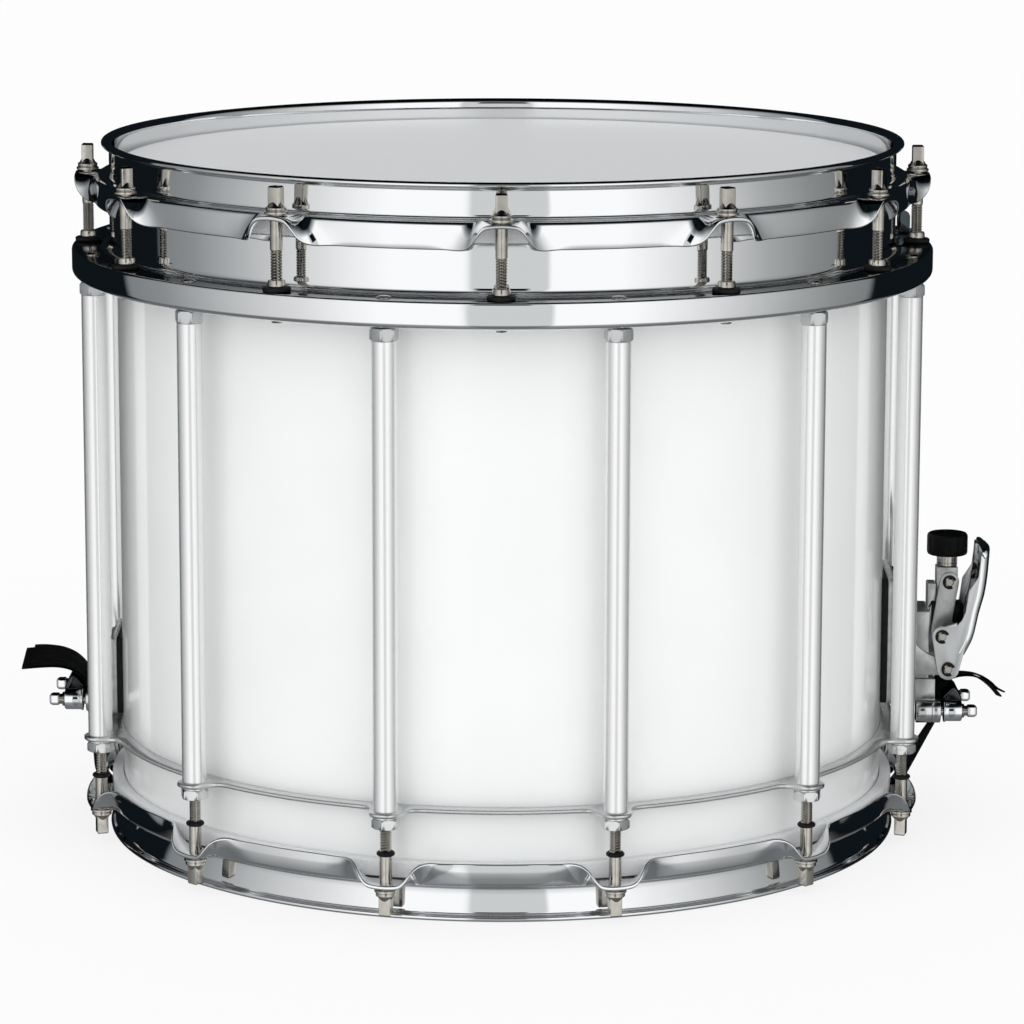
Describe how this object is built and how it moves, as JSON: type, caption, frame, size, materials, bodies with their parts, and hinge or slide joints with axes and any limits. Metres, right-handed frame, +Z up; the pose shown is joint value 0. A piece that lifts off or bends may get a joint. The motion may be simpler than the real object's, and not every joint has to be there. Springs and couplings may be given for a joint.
{
  "type": "marching snare drum",
  "caption": "Free-floating marching snare drum: white shell inside a chromed top ring, plain rods and tubes down to a plate ring, rimmed heads, a lever strainer and a butt.",
  "frame": {"origin": "the middle of the batter head's playing surface", "axes": "+Z up along the drum's axis out of the batter head, +X towards the strainer, -Y towards the front as pictured"},
  "size_m": [0.4595, 0.3964, 0.3212],
  "materials": {
    "white_lacquer": "high-gloss white lacquer over a wooden shell",
    "plated_casting": "die casting with bright chrome plating",
    "milled_steel": "milled and plated steel, bright but softer than the hoops",
    "chrome": "mirror chrome plating on pressed steel",
    "head_film": "smooth light grey film, slightly satin",
    "rod_steel": "plated steel with a warm satin shine and rolled threads",
    "tube_aluminium": "polished aluminium tube",
    "cast_aluminium": "fine-grained cast aluminium",
    "knob_plastic": "black moulded plastic",
    "webbing": "black woven nylon tape",
    "gut": "coated synthetic gut strands"
  },
  "bodies": {
    "drum": {"shell": "white_lacquer", "top_ring": "plated_casting", "bottom_ring": "milled_steel", "top_hoop": "chrome", "bottom_hoop": "chrome", "batter_head": "head_film", "snare_head": "head_film", "snare_unit": "gut", "lug_tube_01": "tube_aluminium", "lug_tube_02": "tube_aluminium", "lug_tube_03": "tube_aluminium", "lug_tube_04": "tube_aluminium", "lug_tube_05": "tube_aluminium", "lug_tube_06": "tube_aluminium", "lug_tube_07": "tube_aluminium", "lug_tube_08": "tube_aluminium", "lug_tube_09": "tube_aluminium", "lug_tube_10": "tube_aluminium", "lug_tube_11": "tube_aluminium", "lug_tube_12": "tube_aluminium", "strainer_base": "cast_aluminium", "butt_body": "cast_aluminium", "butt_clamp": "chrome", "butt_strap": "webbing", "carrier_tab": "chrome"},
    "lever": {"strainer_lever": "chrome"},
    "yoke": {"strainer_yoke": "cast_aluminium"},
    "link": {"strainer_link": "rod_steel"},
    "knob": {"tension_knob": "knob_plastic"},
    "carriage": {"strap_carriage": "cast_aluminium", "strainer_clamp": "chrome", "strainer_strap": "webbing"},
    "clamp_screw_front_body": {"strainer_screw_front": "chrome"},
    "clamp_screw_rear_body": {"strainer_screw_rear": "chrome"},
    "butt_screw_front_body": {"butt_screw_front": "chrome"},
    "butt_screw_rear_body": {"butt_screw_rear": "chrome"},
    "top_rod_01_body": {"top_rod_01": "rod_steel"},
    "top_rod_02_body": {"top_rod_02": "rod_steel"},
    "top_rod_03_body": {"top_rod_03": "rod_steel"},
    "top_rod_04_body": {"top_rod_04": "rod_steel"},
    "top_rod_05_body": {"top_rod_05": "rod_steel"},
    "top_rod_06_body": {"top_rod_06": "rod_steel"},
    "top_rod_07_body": {"top_rod_07": "rod_steel"},
    "top_rod_08_body": {"top_rod_08": "rod_steel"},
    "top_rod_09_body": {"top_rod_09": "rod_steel"},
    "top_rod_10_body": {"top_rod_10": "rod_steel"},
    "top_rod_11_body": {"top_rod_11": "rod_steel"},
    "top_rod_12_body": {"top_rod_12": "rod_steel"},
    "bottom_rod_01_body": {"bottom_rod_01": "rod_steel"},
    "bottom_rod_02_body": {"bottom_rod_02": "rod_steel"},
    "bottom_rod_03_body": {"bottom_rod_03": "rod_steel"},
    "bottom_rod_04_body": {"bottom_rod_04": "rod_steel"},
    "bottom_rod_05_body": {"bottom_rod_05": "rod_steel"},
    "bottom_rod_06_body": {"bottom_rod_06": "rod_steel"},
    "bottom_rod_07_body": {"bottom_rod_07": "rod_steel"},
    "bottom_rod_08_body": {"bottom_rod_08": "rod_steel"},
    "bottom_rod_09_body": {"bottom_rod_09": "rod_steel"},
    "bottom_rod_10_body": {"bottom_rod_10": "rod_steel"},
    "bottom_rod_11_body": {"bottom_rod_11": "rod_steel"},
    "bottom_rod_12_body": {"bottom_rod_12": "rod_steel"}
  },
  "joints": [
    {"name": "lever_throw", "type": "hinge", "parent": "drum", "child": "lever", "pos_m": [0.2086, 0, -0.2377], "axis": [0, 1, 0], "range_deg": [0, 90.05]},
    {"name": "slide_yoke", "type": "slide", "parent": "drum", "child": "yoke", "axis": [0, 0, 1], "range_m": [-0.01721, 0], "deforming": ["strainer_strap"]},
    {"name": "link_swing", "type": "hinge", "parent": "yoke", "child": "link", "pos_m": [0.2094, 0, -0.1981], "axis": [0, 1, 0], "range_deg": [-46.77, 0]},
    {"name": "knob_turn", "type": "hinge", "parent": "yoke", "child": "knob", "pos_m": [0.2086, 0, -0.1857], "axis": [0, 0, 1], "range_deg": [-722, 722]},
    {"name": "carriage_adjust", "type": "slide", "parent": "yoke", "child": "carriage", "axis": [0, 0, 1], "range_m": [-0.0016, 0.0016], "deforming": ["strainer_strap"]},
    {"name": "clamp_screw_front", "type": "hinge", "parent": "carriage", "child": "clamp_screw_front_body", "pos_m": [0.21, -0.016, -0.2576], "axis": [1, 0, 0], "range_deg": [-360, 360]},
    {"name": "clamp_screw_rear", "type": "hinge", "parent": "carriage", "child": "clamp_screw_rear_body", "pos_m": [0.21, 0.016, -0.2576], "axis": [1, 0, 0], "range_deg": [-360, 360]},
    {"name": "butt_screw_front", "type": "hinge", "parent": "drum", "child": "butt_screw_front_body", "pos_m": [-0.2, -0.016, -0.2528], "axis": [-1, 0, 0], "range_deg": [-360, 360]},
    {"name": "butt_screw_rear", "type": "hinge", "parent": "drum", "child": "butt_screw_rear_body", "pos_m": [-0.2, 0.016, -0.2528], "axis": [-1, 0, 0], "range_deg": [-360, 360]},
    {"name": "tension_rod_top_01", "type": "hinge", "parent": "drum", "child": "top_rod_01_body", "pos_m": [0, -0.1912, -0.0118], "axis": [0, 0, 1], "range_deg": [-540, 540]},
    {"name": "tension_rod_top_02", "type": "hinge", "parent": "drum", "child": "top_rod_02_body", "pos_m": [0.0956, -0.16558, -0.0118], "axis": [0, 0, 1], "range_deg": [-540, 540]},
    {"name": "tension_rod_top_03", "type": "hinge", "parent": "drum", "child": "top_rod_03_body", "pos_m": [0.16558, -0.0956, -0.0118], "axis": [0, 0, 1], "range_deg": [-540, 540]},
    {"name": "tension_rod_top_04", "type": "hinge", "parent": "drum", "child": "top_rod_04_body", "pos_m": [0.1912, 0, -0.0118], "axis": [0, 0, 1], "range_deg": [-540, 540]},
    {"name": "tension_rod_top_05", "type": "hinge", "parent": "drum", "child": "top_rod_05_body", "pos_m": [0.16558, 0.0956, -0.0118], "axis": [0, 0, 1], "range_deg": [-540, 540]},
    {"name": "tension_rod_top_06", "type": "hinge", "parent": "drum", "child": "top_rod_06_body", "pos_m": [0.0956, 0.16558, -0.0118], "axis": [0, 0, 1], "range_deg": [-540, 540]},
    {"name": "tension_rod_top_07", "type": "hinge", "parent": "drum", "child": "top_rod_07_body", "pos_m": [0, 0.1912, -0.0118], "axis": [0, 0, 1], "range_deg": [-540, 540]},
    {"name": "tension_rod_top_08", "type": "hinge", "parent": "drum", "child": "top_rod_08_body", "pos_m": [-0.0956, 0.16558, -0.0118], "axis": [0, 0, 1], "range_deg": [-540, 540]},
    {"name": "tension_rod_top_09", "type": "hinge", "parent": "drum", "child": "top_rod_09_body", "pos_m": [-0.16558, 0.0956, -0.0118], "axis": [0, 0, 1], "range_deg": [-540, 540]},
    {"name": "tension_rod_top_10", "type": "hinge", "parent": "drum", "child": "top_rod_10_body", "pos_m": [-0.1912, 0, -0.0118], "axis": [0, 0, 1], "range_deg": [-540, 540]},
    {"name": "tension_rod_top_11", "type": "hinge", "parent": "drum", "child": "top_rod_11_body", "pos_m": [-0.16558, -0.0956, -0.0118], "axis": [0, 0, 1], "range_deg": [-540, 540]},
    {"name": "tension_rod_top_12", "type": "hinge", "parent": "drum", "child": "top_rod_12_body", "pos_m": [-0.0956, -0.16558, -0.0118], "axis": [0, 0, 1], "range_deg": [-540, 540]},
    {"name": "tension_rod_low_01", "type": "hinge", "parent": "drum", "child": "bottom_rod_01_body", "pos_m": [0.04949, -0.18468, -0.2818], "axis": [0, 0, 1], "range_deg": [-540, 540]},
    {"name": "tension_rod_low_02", "type": "hinge", "parent": "drum", "child": "bottom_rod_02_body", "pos_m": [0.1352, -0.1352, -0.2818], "axis": [0, 0, 1], "range_deg": [-540, 540]},
    {"name": "tension_rod_low_03", "type": "hinge", "parent": "drum", "child": "bottom_rod_03_body", "pos_m": [0.18468, -0.04949, -0.2818], "axis": [0, 0, 1], "range_deg": [-540, 540]},
    {"name": "tension_rod_low_04", "type": "hinge", "parent": "drum", "child": "bottom_rod_04_body", "pos_m": [0.18468, 0.04949, -0.2818], "axis": [0, 0, 1], "range_deg": [-540, 540]},
    {"name": "tension_rod_low_05", "type": "hinge", "parent": "drum", "child": "bottom_rod_05_body", "pos_m": [0.1352, 0.1352, -0.2818], "axis": [0, 0, 1], "range_deg": [-540, 540]},
    {"name": "tension_rod_low_06", "type": "hinge", "parent": "drum", "child": "bottom_rod_06_body", "pos_m": [0.04949, 0.18468, -0.2818], "axis": [0, 0, 1], "range_deg": [-540, 540]},
    {"name": "tension_rod_low_07", "type": "hinge", "parent": "drum", "child": "bottom_rod_07_body", "pos_m": [-0.04949, 0.18468, -0.2818], "axis": [0, 0, 1], "range_deg": [-540, 540]},
    {"name": "tension_rod_low_08", "type": "hinge", "parent": "drum", "child": "bottom_rod_08_body", "pos_m": [-0.1352, 0.1352, -0.2818], "axis": [0, 0, 1], "range_deg": [-540, 540]},
    {"name": "tension_rod_low_09", "type": "hinge", "parent": "drum", "child": "bottom_rod_09_body", "pos_m": [-0.18468, 0.04949, -0.2818], "axis": [0, 0, 1], "range_deg": [-540, 540]},
    {"name": "tension_rod_low_10", "type": "hinge", "parent": "drum", "child": "bottom_rod_10_body", "pos_m": [-0.18468, -0.04949, -0.2818], "axis": [0, 0, 1], "range_deg": [-540, 540]},
    {"name": "tension_rod_low_11", "type": "hinge", "parent": "drum", "child": "bottom_rod_11_body", "pos_m": [-0.1352, -0.1352, -0.2818], "axis": [0, 0, 1], "range_deg": [-540, 540]},
    {"name": "tension_rod_low_12", "type": "hinge", "parent": "drum", "child": "bottom_rod_12_body", "pos_m": [-0.04949, -0.18468, -0.2818], "axis": [0, 0, 1], "range_deg": [-540, 540]}
  ],
  "couplings": [
    {"joint": "lever_throw", "follows": "slide_yoke", "rad_per_m": -91.281},
    {"joint": "link_swing", "follows": "slide_yoke", "rad_per_m": 47.389},
    {"joint": "knob_turn", "follows": "carriage_adjust", "rad_per_m": -7854}
  ]
}
